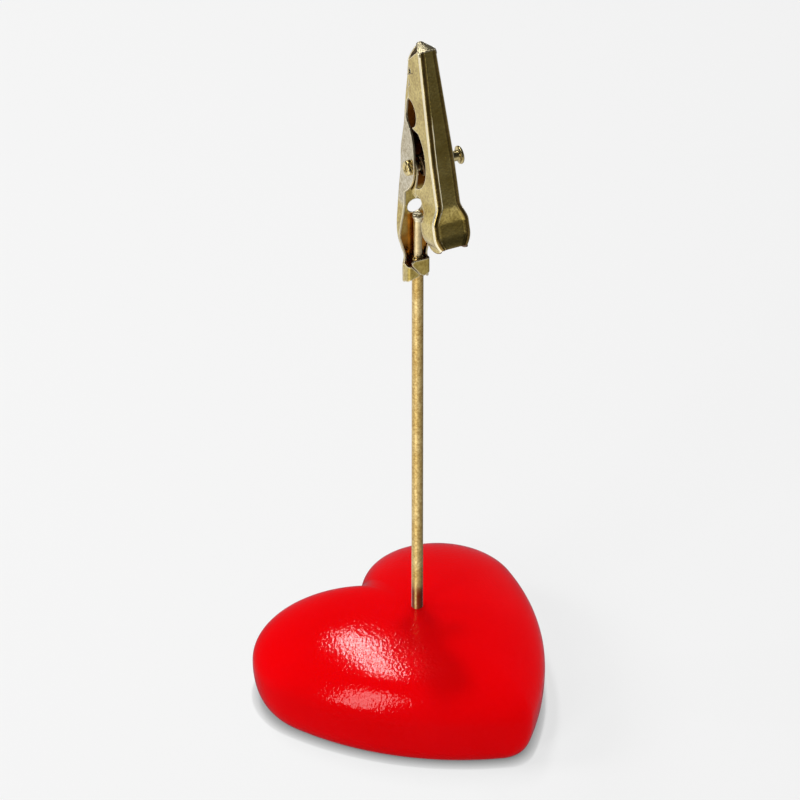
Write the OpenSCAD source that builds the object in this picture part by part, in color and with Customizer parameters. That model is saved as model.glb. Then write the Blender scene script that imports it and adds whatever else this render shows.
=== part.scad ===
// Memo holder: a puffy heart base, an upright wire stem and a stamped crocodile clip.
// Millimetres, +Z up, the heart's tip towards -Y, origin under the middle of the heart.

/* [Heart base] */
// Radius of each upper lobe, seen from above
lobe_r = 11.3; // [10.8:0.1:11.8]
// Distance from the middle line to each lobe's centre
lobe_x = 9.9; // [9.5:0.05:10.5]
// Distance from the lobes' centre line to the tip
tip_drop = 29.1; // [27.5:0.1:31]
// Radius of the long side arcs
side_r = 43.5; // [40:0.1:48]
// Radius of the tip
tip_r = 4; // [3:0.1:4.5]
// Radius of the notch between the lobes
notch_r = 2.4; // [1.5:0.1:3]
// Height of the crown
heart_h = 14.1; // [12.5:0.1:16]
// Height at which the heart is widest
rim_z = 5.9; // [5:0.1:6.5]
// Size of the flat underside as a share of the widest outline
foot_ratio = 0.9; // [0.86:0.01:0.96]

/* [Stem] */
// Diameter of the wire
stem_d = 1.6; // [1.5:0.05:1.7]
// Length of wire glued inside the heart
stem_depth = 9; // [6:0.5:10]
// Distance of the stem behind the heart's lobe centre line
stem_set = 6.45; // [5:0.05:8]
// Diameter of the thinner end that stands inside the clip
neck_d = 1.18; // [1.1:0.02:1.3]

/* [Clip] */
// Height of the clip's pivot above the table
pivot_z = 90; // [82:0.1:110]
// Turn of the clip about the stem, in degrees
clip_turn = -16.5; // [-40:0.5:40]
// Thickness of the sheet that both jaws are stamped from
sheet = 0.3; // [0.25:0.01:0.32]
// Radius of the round window in the lower jaw's web
window_r = 1.15; // [0.9:0.05:1.25]
// Radius of the rivet's shank
rivet_r = 0.72; // [0.6:0.02:0.8]
// Running clearance between the rivet and the moving jaw
rivet_play = 0.05; // [0.03:0.01:0.08]

/* [Spring] */
// Diameter of the spring wire
wire_d = 0.4; // [0.3:0.02:0.4]
// Distance between neighbouring turns, middle to middle
coil_pitch = 0.86; // [0.84:0.01:0.88]
// Radius of the coil to the middle of the wire
coil_r = 1.35; // [1.25:0.01:1.4]

/* [Hidden] */
$fn = 64;
stem_r = stem_d / 2;
lobe_y = (tip_drop - lobe_r) / 2;
stem_y = lobe_y - stem_set;

// The clip's own frame: x along the rivet, y away from the thumb lever, z up from the pivot.
// Its outlines use b = -y, the distance from the stem's axis towards the lever, and k, the height.
pivot_b = 2.1;
web_in = -0.9;
web_out = web_in - sheet;
wide = 20;

// Heart
crown_power = 2.4;
crown_root = 2.1;
crown_blend = 0.64;
crown_round = 18;
foot_levels = [0, 0.03, 0.1, 0.25, 0.5, 0.75, 1];
crown_levels = [0.99, 0.97, 0.94, 0.9, 0.85, 0.78, 0.7, 0.6, 0.48, 0.34, 0.18];

// Upper jaw
wedge = 18.5;
nose_b = 3.2;
nose_k = 18.9;
nose_half = 1.3;
neck_half = 1.8;
neck_u = 16;
flare_half = 2.7;
flare_u = 21.6;
flare_run = 2.8;
end_u = 27.75;
end_half = 2.14;
end_run = 1.8;
lip_reach = 2.4;
lip_root = 0.08;
lip_point = 0.12;
lip_inset = 0.04;
lip_thin = 0.18;

// Lower jaw
ear_half = 2.18;

// Teeth
tooth_top = 15.7;
tooth_pitch = 2.1;
tooth_count = 3;
tooth_line = 0.1;
tooth_depth = 0.5;
tooth_gap = 0.12;
tooth_fill = 0.6;

// Crimp
crimp_half = 1.86;
far_half = 1.4;
tab_in = stem_r + 0.01;

function arc_points(c, r, from, to, steps) =
    [for (i = [0:steps]) c + r * [cos(from + (to - from) * i / steps), sin(from + (to - from) * i / steps)]];
function mirror_loop(half) =
    concat(half, [for (i = [len(half) - 1:-1:0]) [-half[i][0], half[i][1]]]);
function smooth(t) = t <= 0 ? 0 : t >= 1 ? 1 : t * t * (3 - 2 * t);
function along(p, q, t) = p + (q - p) * t;

// Heart outline: notch fillet, lobe, side and tip arcs of the right half, then its mirror image.
lobe_c = [lobe_x, 0];
tip_c = [0, tip_r - tip_drop];
notch_c = [0, sqrt(pow(lobe_r + notch_r, 2) - lobe_x * lobe_x)];
side_from = side_r - lobe_r;
side_to = side_r - tip_r;
span = norm(tip_c - lobe_c);
span_dir = (tip_c - lobe_c) / span;
span_foot = (side_from * side_from - side_to * side_to + span * span) / (2 * span);
side_c = lobe_c + span_foot * span_dir
    + sqrt(side_from * side_from - span_foot * span_foot) * [span_dir[1], -span_dir[0]];
a_notch = atan2(-notch_c[1], lobe_x);
a_side = atan2(lobe_c[1] - side_c[1], lobe_c[0] - side_c[0]);
a_tip = atan2(tip_c[1] - side_c[1], tip_c[0] - side_c[0]);

function tail_of(list) = [for (i = [1:len(list) - 1]) list[i]];
function head_of(list) = [for (i = [0:len(list) - 2]) list[i]];
heart_half = concat(
    arc_points(notch_c, notch_r, -90, a_notch, 3),
    tail_of(arc_points(lobe_c, lobe_r, 180 + a_notch, a_side, 18)),
    tail_of(arc_points(side_c, side_r, a_side, a_tip, 8)),
    head_of(tail_of(arc_points(tip_c, tip_r, a_tip, -90, 4))));
heart_outline = concat(
    heart_half,
    [[0, -tip_drop]],
    [for (i = [len(heart_half) - 1:-1:1]) [-heart_half[i][0], heart_half[i][1]]]);

// A foot ring at s of the way up to the rim: the side bows out as a quarter of an ellipse.
function foot_scale(s) = foot_ratio + (1 - foot_ratio) * sqrt(1 - (1 - s) * (1 - s));

// A crown ring at t of the way out: the outline grows rounder towards the stem.
crown_c = [0, -stem_set];
function crown_z(t) = rim_z + (heart_h - rim_z) * pow(1 - pow(t, crown_power), 1 / crown_root);
function crown_point(o, t) =
    let (w = pow(t, crown_blend), d = o - crown_c)
    crown_c + t * ((1 - w) * crown_round * d / norm(d) + w * d);
heart_rings = concat(
    [for (s = foot_levels) [for (o = heart_outline) [each crown_c + foot_scale(s) * (o - crown_c), s * rim_z]]],
    [for (t = crown_levels) [for (o = heart_outline) [each crown_point(o, t), crown_z(t)]]]);

// Skin of a stack of equal rings, with a flat floor and a pole on top.
function skin_faces(rings, around) = concat(
    [[for (i = [around - 1:-1:0]) i]],
    [for (r = [0:rings - 2], i = [0:around - 1])
        let (j = (i + 1) % around, p = r * around, q = p + around) each [[p + i, q + j, q + i], [p + i, p + j, q + j]]],
    [for (i = [0:around - 1])
        [rings * around, (rings - 1) * around + i, (rings - 1) * around + (i + 1) % around]]);

module heart_base() {
    around = len(heart_outline);
    rings = len(heart_rings);
    color("red")
        difference() {
            translate([0, lobe_y, 0])
                polyhedron(
                    points = concat([for (ring = heart_rings, p = ring) p], [[each crown_c, heart_h]]),
                    faces = skin_faces(rings, around));
            translate([0, stem_y, heart_h - stem_depth])
                cylinder(h = stem_depth + 1, r = stem_r);
        }
}

// Stem: a straight wire, drawn thinner above the crimp and upset to a flat head at its upper end.
stem_top = pivot_z - 9.5;
neck_z = pivot_z - 16.6;
neck_r = neck_d / 2;
neck_run = 0.3;
head_h = 0.4;

module stem() {
    color("darkgoldenrod")
        translate([0, stem_y, 0])
            rotate_extrude()
                polygon([
                    [0, heart_h - stem_depth], [stem_r, heart_h - stem_depth],
                    [stem_r, neck_z], [neck_r, neck_z + neck_run],
                    [neck_r, stem_top - 2 * head_h], [stem_r, stem_top - head_h],
                    [stem_r, stem_top - head_h / 3], [stem_r - 0.1, stem_top], [0, stem_top]]);
}

// Places its children in the clip's frame.
module at_clip() {
    translate([0, stem_y, pivot_z])
        rotate([0, 0, clip_turn])
            children();
}

// A plate cut to a side outline of [b, k] points, centred across the clip.
module side_plate(outline, width) {
    rotate([90, 0, -90])
        linear_extrude(width, center = true)
            polygon(outline);
}

// A plate cut to a front outline of [across, k] points, standing from b to b + depth.
module front_plate(outline, b, depth) {
    translate([0, -b, 0])
        rotate([90, 0, 0])
            linear_extrude(depth)
                polygon(outline);
}

module rivet_bore(r) {
    translate([0, -pivot_b, 0])
        rotate([0, 90, 0])
            cylinder(h = wide, r = r, center = true);
}

// The toothed edge, from the nose down: roots and tips half a pitch apart.
function tooth_points(root_b, tip_b) = [
    for (i = [0:tooth_count - 1]) each [
        [tip_b, tooth_top - i * tooth_pitch - tooth_pitch * 0.15],
        [root_b, tooth_top - i * tooth_pitch - tooth_pitch * 0.65]]];

// Lower jaw: half widths of the channel at heights k, then its side outline.
lower_half_at = [
    [15.7, 1.27], [9.5, 1.46], [5.5, 1.68], [1.3, ear_half], [-2, ear_half], [-4, 2.36], [-8, 2.6],
    [-10.9, 2.72], [-12, 2.68], [-13.2, 2.54], [-14.9, 2.1], [-16.6, 1.7], [-17.7, crimp_half], [-20.5, crimp_half]];
lower_nose = [-0.5, 15.7];
lower_lip_end = [0.45, 18.3];
ear_c = [-3.2, 0.4];
ear_r = 6.45;
window_k = -8.7;
tooth_low = tooth_line - tooth_gap;
lower_side = concat(
    [[web_out, -20.5], [web_out, 9.5], lower_nose, [-0.34, 15.7]],
    tooth_points(tooth_low + tooth_depth * 0.1, tooth_low - tooth_depth * 0.3),
    [[-0.55, 9], [-0.6, 7]],
    arc_points(ear_c, ear_r, 62, -52, 16),
    [[0.95, -6.6], [0.65, -8.7], [0.15, -11], [-0.55, -13.2], [-0.55, -20.5]]);
lower_inside = [
    [lower_nose[0] + sheet, 17], [lower_nose[0] + sheet, 15.7], [web_in, 9.5], [web_in, -21], [8, -21], [8, 17]];

// Crimp tabs, seen from the front, meet in a slanting seam over the stem.
tab_out = tab_in + sheet;
near_wall = [[web_out, -20.5], [tab_out, -19.5], [tab_out, -17.25], [web_out, -17.5]];
far_wall = [[web_out, -20], [tab_out, -18.7], [tab_out, -16.5], [web_out, -16.7]];
near_tab = [[-crimp_half, -17.25], [-1.3, -17.3], [-0.25, -18.75], [-0.5, -19.1], [-crimp_half, -19.5]];
far_tab = [[far_half, -16.5], [-0.9, -16.45], [-1.25, -16.8], [-1.15, -17.2], [0, -18.85], [0.5, -19.1],
    [far_half, -18.7]];

// A triangular plate that closes a nose, from its wide root at p to its point at q, in [b, k].
// Its other face is thick away, on the given side.
module nose_lip(p, q, half, side, thick) {
    slope = atan2(q[1] - p[1], q[0] - p[0]);
    reach = norm(q - p);
    translate([0, -p[0], p[1]])
        rotate([-slope, 0, 0])
            translate([0, 0, side * thick / 2])
                linear_extrude(thick, center = true)
                    polygon([[-half, lip_root], [half, lip_root], [lip_point, -reach], [-lip_point, -reach]]);
}

module lower_jaw() {
    outer = mirror_loop([for (s = lower_half_at) [s[1], s[0]]]);
    inner = mirror_loop([for (s = lower_half_at) [s[1] - sheet, s[0] * 1.02]]);
    color("goldenrod")
        at_clip()
            difference() {
                union() {
                    difference() {
                        intersection() {
                            front_plate(outer, web_out, wide);
                            side_plate(lower_side, wide);
                        }
                        intersection() {
                            front_plate(inner, web_out, wide);
                            side_plate(lower_inside, wide);
                        }
                    }
                    translate([-crimp_half + sheet / 2, 0, 0])
                        side_plate(near_wall, sheet);
                    translate([far_half - sheet / 2, 0, 0])
                        side_plate(far_wall, sheet);
                    front_plate(near_tab, tab_in, sheet);
                    front_plate(far_tab, tab_in, sheet);
                    nose_lip(lower_nose + [lip_inset, 0], lower_lip_end, lower_half_at[0][1] - lip_inset, -1, lip_thin);
                }
                rivet_bore(rivet_r);
                translate([0, 0, window_k])
                    rotate([90, 0, 0])
                        cylinder(h = wide, r = window_r, center = true);
            }
}

// Upper jaw: half width at u along its back from the nose, then its side outline.
function upper_half(u) =
    let (taper = nose_half + (neck_half - nose_half) * min(u / neck_u, 1))
    taper + (flare_half - neck_half) * smooth((u - flare_u) / flare_run)
        - (flare_half - end_half) * pow(max(u - end_u + end_run, 0) / end_run, 2);
upper_stations = concat(
    [0, neck_u],
    [for (i = [0:8]) flare_u + flare_run * i / 8],
    [for (i = [0:5]) end_u - end_run + end_run * i / 5]);
function back_at(k) = [nose_b + (nose_k - k) * tan(wedge), k];

throat_c = [0.9, 8];
throat_r = 2.1;
crescent_c = [1.6, 1.9];
crescent_r = 4.95;
arm_r = 1.45;
relief_c = [6.4, -4.95];
relief_r = 0.9;
tooth_high = tooth_line;
upper_side = concat(
    [back_at(nose_k), [-0.15, 15.8]],
    tooth_points(tooth_high + tooth_depth * tooth_fill, tooth_high - tooth_depth * 0.3),
    [[tooth_high, 10]],
    arc_points(throat_c, throat_r, 95, -62, 9),
    arc_points(crescent_c, crescent_r, 64, -74, 12),
    [[2.75, -3.3]],
    arc_points([pivot_b, 0], arm_r, -20, 200, 14),
    [[1.2, -3.4], [2.1, -4.4], [4.4, -3.5]],
    arc_points(relief_c, relief_r, 135, -110, 10),
    [[7.2, -7], [7.6, -8.4], [8.2, -8.9], [9, -9.05], [10.3, -8.8], [11.6, -8]],
    [back_at(nose_k - end_u * cos(wedge))]);

// An upright on the upper jaw's back: outline of [across, u], from v to v + depth under the back.
module back_plate(outline, v, depth) {
    translate([0, -nose_b, nose_k])
        rotate([-90 - wedge, 0, 0])
            translate([0, 0, v])
                linear_extrude(depth)
                    polygon(outline);
}

module upper_jaw() {
    outer = mirror_loop([for (u = upper_stations) [upper_half(u), u]]);
    inner = mirror_loop([for (u = upper_stations) [upper_half(u) - sheet, u * 1.04 - 0.5]]);
    color("goldenrod")
        at_clip()
            difference() {
                union() {
                    difference() {
                        intersection() {
                            back_plate(outer, 0, wide);
                            side_plate(upper_side, wide);
                        }
                        back_plate(inner, sheet, wide);
                    }
                    nose_lip([nose_b - 4 * lip_inset, nose_k], [nose_b - lip_reach, nose_k], nose_half, 1, sheet);
                }
                rivet_bore(rivet_r + rivet_play);
            }
}

// Rivet: a hollow tube with a rolled flange at each end; the far end stands proud of its ear.
ear_out = ear_half;
rivet_bore_r = 0.45;
near_flange_r = 1.08;
near_flange_t = 0.7;
far_flange_r = 1.27;
far_flange_t = 0.42;
far_flange_x = 4.95;
flange_round = 0.15;

module pivot_rivet() {
    near_x = -ear_out - near_flange_t;
    far_x = far_flange_x + far_flange_t;
    color("khaki")
        at_clip()
            translate([0, -pivot_b, 0])
                rotate([0, 90, 0])
                    rotate_extrude()
                        polygon([
                            [rivet_bore_r, near_x], [near_flange_r - flange_round, near_x],
                            [near_flange_r, near_x + flange_round], [near_flange_r, -ear_out],
                            [rivet_r, -ear_out], [rivet_r, far_flange_x],
                            [far_flange_r, far_flange_x], [far_flange_r, far_x - flange_round],
                            [far_flange_r - flange_round, far_x], [rivet_bore_r, far_x]]);
}

// Torsion spring: one wire, a straight leg on the web, the coil, and a straight leg on the lever.
coil_from = 165.5;
coil_to = 64.2 - 720;
coil_half = coil_pitch * (coil_from - coil_to) / 720;
curl_rings = 8;
coil_steps = ceil((coil_from - coil_to) / 360 * curl_rings);
web_leg = 5.8;
lever_leg = 7.8;
wire_sides = 6;
function coil_point(angle, x) = [x, pivot_b + coil_r * cos(angle), coil_r * sin(angle)];
function leg_dir(angle) = [0, sin(angle), -cos(angle)];
web_root = coil_point(coil_from, -coil_half);
lever_root = coil_point(coil_to, coil_half);
spring_path = concat(
    [for (t = [1, 0.9, 0.45]) web_root - leg_dir(coil_from) * web_leg * t],
    [for (i = [0:coil_steps])
        coil_point(along(coil_from, coil_to, i / coil_steps), along(-coil_half, coil_half, i / coil_steps))],
    [for (t = [0.3, 0.65, 0.95, 1]) lever_root + leg_dir(coil_to) * lever_leg * t]);
spring_last = len(spring_path) - 1;

// The least distance between wire points more than half a turn apart, less the wire itself.
spring_gap = min([for (i = [0:spring_last], j = [i + curl_rings / 2:1:spring_last])
    norm(spring_path[i] - spring_path[j])]) - wire_d;
echo(spring_least_gap = spring_gap);

function unit(v) = v / norm(v);
function path_dir(i) = unit(spring_path[min(i + 1, spring_last)] - spring_path[max(i - 1, 0)]);
function wire_ring(i) =
    let (t = path_dir(i), n = unit([1, 0, 0] - t[0] * t), m = cross(t, n))
    [for (s = [0:wire_sides - 1])
        spring_path[i] + wire_d / 2 * (cos(360 * s / wire_sides) * n + sin(360 * s / wire_sides) * m)];
function wire_faces(rings, around) = concat(
    [for (i = [1:around - 2]) [0, i, i + 1]],
    [for (r = [0:rings - 2], i = [0:around - 1])
        let (j = (i + 1) % around, p = r * around, q = p + around) each [[p + i, q + i, q + j], [p + i, q + j, p + j]]],
    [for (i = [1:around - 2]) [(rings - 1) * around, (rings - 1) * around + i + 1, (rings - 1) * around + i]]);

module torsion_spring() {
    color("dimgray")
        at_clip()
            mirror([0, 1, 0])
                polyhedron(
                    points = [for (i = [0:spring_last]) each wire_ring(i)],
                    faces = wire_faces(spring_last + 1, wire_sides));
}

heart_base();
stem();
lower_jaw();
upper_jaw();
pivot_rivet();
torsion_spring();
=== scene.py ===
import math

import bmesh
import bpy
import numpy as np
from mathutils import Matrix, Vector


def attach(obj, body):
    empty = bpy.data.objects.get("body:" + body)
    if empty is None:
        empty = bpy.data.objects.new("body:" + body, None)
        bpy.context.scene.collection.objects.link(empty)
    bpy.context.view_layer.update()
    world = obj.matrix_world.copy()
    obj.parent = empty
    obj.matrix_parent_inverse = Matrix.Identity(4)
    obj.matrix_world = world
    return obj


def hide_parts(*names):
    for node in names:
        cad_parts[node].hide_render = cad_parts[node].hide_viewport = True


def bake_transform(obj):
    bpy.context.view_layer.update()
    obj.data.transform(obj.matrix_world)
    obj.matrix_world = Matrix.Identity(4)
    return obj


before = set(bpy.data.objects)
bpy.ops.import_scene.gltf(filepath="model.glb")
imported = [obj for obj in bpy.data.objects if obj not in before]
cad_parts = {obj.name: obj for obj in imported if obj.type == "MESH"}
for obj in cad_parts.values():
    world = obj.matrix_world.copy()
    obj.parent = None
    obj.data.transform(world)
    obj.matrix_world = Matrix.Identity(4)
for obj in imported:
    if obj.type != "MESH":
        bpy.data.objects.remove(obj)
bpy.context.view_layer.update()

# Shapes are worked out in millimetres, and become metres in the mesh.
MM = 0.001
UP = np.array([0.0, 0.0, 1.0])
EAST = np.array([1.0, 0.0, 0.0])
POINT_R = 1e-7
SHEET = 0.3

# The clip's own axes: across along the rivet, towards the thumb lever, and up from the pivot.
STEM_Y = 2.45
PIVOT_Z = 90.0
PIVOT_B = 2.1
CLIP_TURN = math.radians(-16.5)
ACROSS = np.array([math.cos(CLIP_TURN), math.sin(CLIP_TURN), 0.0])
LEVERWARD = np.array([math.sin(CLIP_TURN), -math.cos(CLIP_TURN), 0.0])
CLIP_FOOT = np.array([0.0, STEM_Y, PIVOT_Z])

# Sets of pieces, for light that falls on one kind alone
resin_set = bpy.data.collections.new("resin pieces")
metal_set = bpy.data.collections.new("metal pieces")


def in_clip(a, b, k):
    """Clip points in the part's frame: the clip's foot plus a across, b leverward and k up."""
    a, b, k = np.broadcast_arrays(a, b, k)
    return CLIP_FOOT + a[..., None] * ACROSS + b[..., None] * LEVERWARD + k[..., None] * UP


def ease(t):
    """Smooth step: three t squared less two t cubed, with t held from 0 to 1."""
    t = np.clip(t, 0, 1)
    return t * t * (3 - 2 * t)


def arc(centre, radius, start, stop, count):
    """Points of an arc: the centre plus the radius times the cosine and sine of evenly spaced angles."""
    turn = np.radians(np.linspace(start, stop, count))
    return np.array(centre) + radius * np.stack([np.cos(turn), np.sin(turn)], axis=1)


def through(x, knots):
    """A smooth curve through knots of (x, y): on each stretch a cubic with the knots' mean slopes."""
    knots = np.array(sorted(knots))
    slope = np.gradient(knots[:, 1], knots[:, 0])
    x = np.clip(x, knots[0, 0], knots[-1, 0])
    i = np.clip(np.searchsorted(knots[:, 0], x) - 1, 0, len(knots) - 2)
    run = knots[i + 1, 0] - knots[i, 0]
    t = (x - knots[i, 0]) / run
    rise = knots[i + 1, 1] - knots[i, 1]
    bend = (slope[i] * run - rise) * (1 - t) - (slope[i + 1] * run - rise) * t
    return knots[i, 1] + rise * t + t * (1 - t) * bend


def evenly(line, step):
    """A polyline cut again into equal steps along its length, by linear interpolation."""
    run = np.concatenate([[0], np.cumsum(np.linalg.norm(np.diff(line, axis=0), axis=1))])
    at = np.linspace(0, run[-1], int(run[-1] / step) + 1)
    return np.stack([np.interp(at, run, line[:, i]) for i in range(line.shape[1])], axis=1)


def unit(v):
    """Each vector divided by its own length."""
    return v / np.maximum(np.linalg.norm(v, axis=-1, keepdims=True), 1e-12)


def grid_quads(rows, cols):
    """Four corner numbers of each cell of a grid of rows by cols points."""
    n = np.arange(rows * cols).reshape(rows, cols)
    return np.stack([n[:-1, :-1], n[1:, :-1], n[1:, 1:], n[:-1, 1:]], axis=-1).reshape(-1, 4)


def tube_quads(rings):
    """Four corner numbers of each cell between rings of point numbers that close on themselves."""
    after = np.roll(rings, -1, axis=1)
    return np.stack([rings[:-1], rings[1:], after[1:], after[:-1]], axis=-1).reshape(-1, 4)


# The order of a cell's corners that turns it to face the other way
FACING_BACK = [0, 3, 2, 1]


def border(n):
    """The point numbers round the edge of a grid of them, in order."""
    return np.concatenate([n[:-1, 0], n[-1, :-1], n[:0:-1, -1], n[0, :0:-1]])


RIM_STEPS = np.radians([20, 45, 70, 90, 110, 135, 160])
RIM_POWER = 0.6
RIM_BULGE = 0.22
GAP_BATCH = 4000000


def plate(skin, thick, towards, keep=None, hole=None):
    """A pressed plate from the grid of its outer face. The inner face lies one thickness behind along the
    normals, which are cross products of the grid's two directions, and round every edge a half-oval rim
    joins the two faces. A hole is a loop of grid points, and keep says which cells have metal.
    Returns points, quads, each point's distance from the nearest edge, and 1 for outer points."""
    normal = unit(np.cross(np.gradient(skin, axis=0), np.gradient(skin, axis=1)))
    middle = normal[skin.shape[0] // 2, skin.shape[1] // 2]
    if middle @ np.array(towards) < 0:
        skin = skin[:, ::-1]
        normal = -normal[:, ::-1]
    rows, cols = skin.shape[:2]
    quads = grid_quads(rows, cols)
    if keep is not None:
        quads = quads[keep.ravel()]
    loops = [border(np.arange(rows * cols).reshape(rows, cols))]
    if hole is not None:
        loops.append(hole)
    face = skin.reshape(-1, 3)
    out = normal.reshape(-1, 3)
    points = [face, face - thick * out]
    faces = [quads, quads[:, ::-1] + len(face)]
    outer = [np.ones(len(face)), np.zeros(len(face))]
    count = 2 * len(face)
    rims = np.concatenate([face[loop] for loop in loops])
    batches = np.array_split(face, max(1, len(face) * len(rims) // GAP_BATCH))
    nearest = [np.linalg.norm(some[:, None] - rims[None], axis=2).min(axis=1) for some in batches]
    gap = np.concatenate(nearest)
    gaps = [gap, gap]
    across = (np.abs(np.cos(RIM_STEPS)) ** RIM_POWER * np.sign(np.cos(RIM_STEPS)))[:, None, None]
    beyond = (np.sin(RIM_STEPS) ** RIM_POWER)[:, None, None]
    for loop in loops:
        run = unit(np.roll(face[loop], -1, axis=0) - np.roll(face[loop], 1, axis=0))
        aside = unit(np.cross(run, out[loop]))
        centre = face[loop] - thick / 2 * out[loop]
        ring = centre + thick / 2 * across * out[loop] + RIM_BULGE * thick * beyond * aside
        size = len(RIM_STEPS) * len(loop)
        between = count + np.arange(size).reshape(len(RIM_STEPS), len(loop))
        faces.append(tube_quads(np.concatenate([[loop], between, [loop + len(face)]])))
        points.append(ring.reshape(-1, 3))
        gaps.append(np.zeros(size))
        outer.append(np.full(size, 0.5))
        count += size
    return np.concatenate(points), np.concatenate(faces), np.concatenate(gaps), np.concatenate(outer)


def joined(*parts):
    """Several plates as one set of arrays, with corner numbers moved along."""
    points, quads, gaps, outer = zip(*parts)
    shifts = np.cumsum([0] + [len(some) for some in points[:-1]])
    quads = [some + shift for some, shift in zip(quads, shifts)]
    return np.concatenate(points), np.concatenate(quads), np.concatenate(gaps), np.concatenate(outer)


def turned(profile, axis_point, axis, side, steps, lobes=0.0):
    """A closed surface of revolution: each profile point (r, z) goes round the axis in equal steps. With
    lobes, the radius grows and shrinks four times a turn by that share, times the profile's third value."""
    turn = np.linspace(0, 2 * np.pi, steps, endpoint=False)
    ring = np.cos(turn)[:, None] * side + np.sin(turn)[:, None] * np.cross(axis, side)
    radius = profile[:, 0:1] * (1 + lobes * profile[:, 2:3] * np.cos(4 * turn))
    points = axis_point + radius[..., None] * ring + profile[:, 1, None, None] * axis
    rings = np.arange(len(profile) * steps).reshape(len(profile), steps)
    return points.reshape(-1, 3), tube_quads(rings)[:, FACING_BACK]


WELD = 1e-6


def put(name, points, quads, material, kind, body, node, slot, marks=None):
    """Makes a smooth mesh, welds points that meet, and sets it in place of a CAD node. Marks are values at
    each point for its material, and kind is the set of pieces that it is lit with."""
    mesh = bpy.data.meshes.new(name)
    mesh.from_pydata((points * MM).tolist(), [], quads.tolist())
    for mark, values in (marks or {}).items():
        mesh.attributes.new(mark, "FLOAT", "POINT").data.foreach_set("value", values.astype(np.float32))
    shape = bmesh.new()
    shape.from_mesh(mesh)
    bmesh.ops.remove_doubles(shape, verts=shape.verts, dist=WELD)
    bmesh.ops.dissolve_degenerate(shape, edges=shape.edges, dist=WELD / 10)
    shape.to_mesh(mesh)
    shape.free()
    mesh.shade_smooth()
    mesh.materials.append(material)
    piece = bpy.data.objects.new(name, mesh)
    bpy.context.collection.objects.link(piece)
    kind.objects.link(piece)
    if body:
        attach(piece, body)
    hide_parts(node)
    return piece


# Materials


def node_tree(material):
    """An empty node tree for a material."""
    material.use_nodes = True
    tree = material.node_tree
    tree.nodes.clear()
    return tree


def add(tree, kind, **values):
    """Adds a node and sets its properties, and its inputs by name where the node has no such property."""
    node = tree.nodes.new(kind)
    for name, value in values.items():
        if hasattr(node, name):
            setattr(node, name, value)
        else:
            node.inputs[name.replace("_", " ")].default_value = value
    return node


def dress(tree, shader):
    """Ends a material's tree with its output, fed by a shader."""
    out = tree.nodes.new("ShaderNodeOutputMaterial")
    tree.links.new(shader, out.inputs["Surface"])


def ramp(tree, low, high):
    """A ramp from black at one value to white at another."""
    node = tree.nodes.new("ShaderNodeValToRGB")
    node.color_ramp.elements[0].position = low
    node.color_ramp.elements[1].position = high
    return node


def marked(tree, name):
    """The value that a piece's points carry under a name."""
    return add(tree, "ShaderNodeAttribute", attribute_name=name).outputs["Fac"]


def tinted(tree, mask, low, high):
    """A colour between low and high by a 0 to 1 mask."""
    mix = add(tree, "ShaderNodeMix", data_type="RGBA")
    mix.inputs["A"].default_value = (*low, 1)
    mix.inputs["B"].default_value = (*high, 1)
    tree.links.new(mask, mix.inputs["Factor"])
    return mix.outputs["Result"]


def blended(tree, mask, low, high):
    """A colour between two linked colours by a 0 to 1 mask."""
    mix = add(tree, "ShaderNodeMix", data_type="RGBA")
    tree.links.new(low, mix.inputs["A"])
    tree.links.new(high, mix.inputs["B"])
    tree.links.new(mask, mix.inputs["Factor"])
    return mix.outputs["Result"]


def stained(tree, mask, colour, stain, blend="MIX"):
    """A linked colour that turns into a fixed one, or is multiplied by it, by a 0 to 1 mask."""
    mix = add(tree, "ShaderNodeMix", data_type="RGBA", blend_type=blend)
    mix.inputs["B"].default_value = (*stain, 1)
    tree.links.new(colour, mix.inputs["A"])
    tree.links.new(mask, mix.inputs["Factor"])
    return mix.outputs["Result"]


def spread(tree, mask, low, high):
    """A number from low to high as a mask goes from 0 to 1."""
    node = add(tree, "ShaderNodeMapRange", To_Min=low, To_Max=high)
    tree.links.new(mask, node.inputs["Value"])
    return node.outputs["Result"]


def plating_group():
    """Tarnish and speckle of plated brass: slow cloudy patches and fine specks as 0 to 1 masks, and the
    height of specks and pits together."""
    group = bpy.data.node_groups.new("brass plating", "ShaderNodeTree")
    group.interface.new_socket("Vector", in_out="INPUT", socket_type="NodeSocketVector")
    for name in ("Patch Scale", "Speck Scale"):
        group.interface.new_socket(name, in_out="INPUT", socket_type="NodeSocketFloat")
    for name in ("Patch", "Speck", "Height"):
        group.interface.new_socket(name, in_out="OUTPUT", socket_type="NodeSocketFloat")
    entry = group.nodes.new("NodeGroupInput")
    leave = group.nodes.new("NodeGroupOutput")
    cloud = add(group, "ShaderNodeTexNoise", Detail=3.0, Roughness=0.55)
    speck = add(group, "ShaderNodeTexNoise", Detail=4.0, Roughness=0.7)
    pit = add(group, "ShaderNodeTexVoronoi")
    for texture, scale in ((cloud, "Patch Scale"), (speck, "Speck Scale"), (pit, "Speck Scale")):
        group.links.new(entry.outputs["Vector"], texture.inputs["Vector"])
        group.links.new(entry.outputs[scale], texture.inputs["Scale"])
    soft = ramp(group, 0.35, 0.65)
    hard = ramp(group, 0.38, 0.62)
    group.links.new(cloud.outputs["Fac"], soft.inputs["Fac"])
    group.links.new(speck.outputs["Fac"], hard.inputs["Fac"])
    rough = add(group, "ShaderNodeMath", operation="ADD")
    group.links.new(speck.outputs["Fac"], rough.inputs[0])
    group.links.new(pit.outputs["Distance"], rough.inputs[1])
    group.links.new(soft.outputs["Color"], leave.inputs["Patch"])
    group.links.new(hard.outputs["Color"], leave.inputs["Speck"])
    group.links.new(rough.outputs["Value"], leave.inputs["Height"])
    return group


PLATING = plating_group()
PATCH_SCALE = 260.0
SPECK_SCALE = 2600.0
SPECK_DEPTH = 0.00002
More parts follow.
